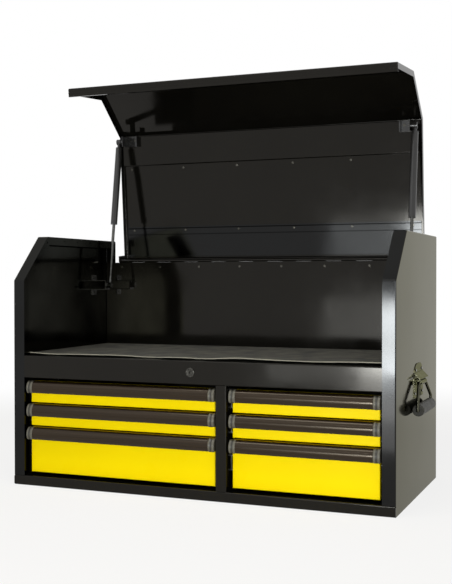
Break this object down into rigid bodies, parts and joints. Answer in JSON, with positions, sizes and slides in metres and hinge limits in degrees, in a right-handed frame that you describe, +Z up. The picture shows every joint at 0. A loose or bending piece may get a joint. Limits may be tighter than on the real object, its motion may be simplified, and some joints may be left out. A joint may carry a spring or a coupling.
{
  "type": "top tool chest",
  "caption": "Folded-steel top tool chest with banks of drawers under an open tray, a hinged lid on gas struts, a keyed lock and a swinging handle on each side.",
  "frame": {"origin": "centre of the underside of the base pan", "axes": "+X to the right seen from the front, +Y to the back, +Z up"},
  "size_m": [0.9804, 0.5113, 0.9914],
  "materials": {
    "black_paint": "gloss",
    "yellow_paint": "gloss",
    "pull_metal": "satin, dark",
    "cap_plastic": "fine grain",
    "mat_rubber": "fine pebble",
    "slide_steel": "zinc",
    "strut_black": "satin",
    "strut_rod": "polished",
    "lock_chrome": "polished",
    "handle_chrome": "polished",
    "grip_rubber": "matt",
    "rivet_steel": "gloss"
  },
  "bodies": {
    "cabinet": {"side_panel_left": "black_paint", "side_panel_right": "black_paint", "back_panel": "black_paint", "base_pan": "black_paint", "tray_and_front_rail": "black_paint", "centre_divider": "black_paint", "tray_mat": "mat_rubber", "slide_uprights": "black_paint", "fixed_slides": "slide_steel", "cabinet_hinge_leaf": "black_paint", "hinge_pin": "slide_steel", "cabinet_strut_brackets": "strut_black", "lock_body": "lock_chrome", "handle_brackets": "handle_chrome", "cabinet_fasteners": "rivet_steel"},
    "lid": {"lid_shell": "black_paint", "lid_front_stiffener": "black_paint", "lid_rear_stiffener": "black_paint", "lid_hinge_leaf": "black_paint", "lid_strut_brackets": "strut_black", "lid_fasteners": "rivet_steel"},
    "strut_cylinder_left": {"strut_cylinder_left": "strut_black"},
    "strut_cylinder_right": {"strut_cylinder_right": "strut_black"},
    "strut_rod_left": {"strut_rod_left": "strut_rod"},
    "strut_rod_right": {"strut_rod_right": "strut_rod"},
    "lock_plug": {"lock_plug": "lock_chrome"},
    "bail_left": {"bail_left": "handle_chrome", "grip_left": "grip_rubber"},
    "bail_right": {"bail_right": "handle_chrome", "grip_right": "grip_rubber"},
    "left_bottom_drawer": {"left_bottom_drawer_front": "yellow_paint", "left_bottom_drawer_box": "black_paint", "left_bottom_drawer_pull": "pull_metal", "left_bottom_drawer_pull_caps": "cap_plastic", "left_bottom_drawer_slides": "slide_steel"},
    "left_middle_drawer": {"left_middle_drawer_front": "yellow_paint", "left_middle_drawer_box": "black_paint", "left_middle_drawer_pull": "pull_metal", "left_middle_drawer_pull_caps": "cap_plastic", "left_middle_drawer_slides": "slide_steel"},
    "left_top_drawer": {"left_top_drawer_front": "yellow_paint", "left_top_drawer_box": "black_paint", "left_top_drawer_pull": "pull_metal", "left_top_drawer_pull_caps": "cap_plastic", "left_top_drawer_slides": "slide_steel"},
    "right_bottom_drawer": {"right_bottom_drawer_front": "yellow_paint", "right_bottom_drawer_box": "black_paint", "right_bottom_drawer_pull": "pull_metal", "right_bottom_drawer_pull_caps": "cap_plastic", "right_bottom_drawer_slides": "slide_steel"},
    "right_middle_drawer": {"right_middle_drawer_front": "yellow_paint", "right_middle_drawer_box": "black_paint", "right_middle_drawer_pull": "pull_metal", "right_middle_drawer_pull_caps": "cap_plastic", "right_middle_drawer_slides": "slide_steel"},
    "right_top_drawer": {"right_top_drawer_front": "yellow_paint", "right_top_drawer_box": "black_paint", "right_top_drawer_pull": "pull_metal", "right_top_drawer_pull_caps": "cap_plastic", "right_top_drawer_slides": "slide_steel"}
  },
  "joints": [
    {"name": "lid_hinge", "type": "hinge", "parent": "cabinet", "child": "lid", "pos_m": [0, 0.2261, 0.542], "axis": [1, 0, 0], "range_deg": [0, 85.5]},
    {"name": "strut_pivot_left", "type": "hinge", "parent": "lid", "child": "strut_cylinder_left", "pos_m": [-0.4116, 0.2126, 0.8716], "axis": [1, 0, 0], "range_deg": [-4.2, 0]},
    {"name": "strut_slide_left", "type": "slide", "parent": "strut_cylinder_left", "child": "strut_rod_left", "axis": [0, 0.1445, 0.9895], "range_m": [0, 0.1301]},
    {"name": "strut_pivot_right", "type": "hinge", "parent": "lid", "child": "strut_cylinder_right", "pos_m": [0.4116, 0.2126, 0.8716], "axis": [1, 0, 0], "range_deg": [-4.2, 0]},
    {"name": "strut_slide_right", "type": "slide", "parent": "strut_cylinder_right", "child": "strut_rod_right", "axis": [0, 0.1445, 0.9895], "range_m": [0, 0.1301]},
    {"name": "left_bottom_drawer_slide", "type": "slide", "parent": "cabinet", "child": "left_bottom_drawer", "axis": [0, -1, 0], "range_m": [0, 0.32]},
    {"name": "left_middle_drawer_slide", "type": "slide", "parent": "cabinet", "child": "left_middle_drawer", "axis": [0, -1, 0], "range_m": [0, 0.32]},
    {"name": "left_top_drawer_slide", "type": "slide", "parent": "cabinet", "child": "left_top_drawer", "axis": [0, -1, 0], "range_m": [0, 0.32]},
    {"name": "right_bottom_drawer_slide", "type": "slide", "parent": "cabinet", "child": "right_bottom_drawer", "axis": [0, -1, 0], "range_m": [0, 0.32]},
    {"name": "right_middle_drawer_slide", "type": "slide", "parent": "cabinet", "child": "right_middle_drawer", "axis": [0, -1, 0], "range_m": [0, 0.32]},
    {"name": "right_top_drawer_slide", "type": "slide", "parent": "cabinet", "child": "right_top_drawer", "axis": [0, -1, 0], "range_m": [0, 0.32]},
    {"name": "lock_turn", "type": "hinge", "parent": "cabinet", "child": "lock_plug", "pos_m": [0, -0.229, 0.284], "axis": [0, 1, 0], "range_deg": [0, 90]},
    {"name": "bail_swing_left", "type": "hinge", "parent": "cabinet", "child": "bail_left", "pos_m": [-0.4715, 0, 0.26], "axis": [0, 1, 0], "range_deg": [0, 90]},
    {"name": "bail_swing_right", "type": "hinge", "parent": "cabinet", "child": "bail_right", "pos_m": [0.4715, 0, 0.26], "axis": [0, -1, 0], "range_deg": [0, 90]}
  ],
  "couplings": [
    {"joint": "strut_pivot_left", "follows": "lid_hinge", "ratio": -0.048119},
    {"joint": "strut_slide_left", "follows": "lid_hinge", "m_per_rad": 0.087092},
    {"joint": "strut_pivot_right", "follows": "lid_hinge", "ratio": -0.048119},
    {"joint": "strut_slide_right", "follows": "lid_hinge", "m_per_rad": 0.087092}
  ]
}
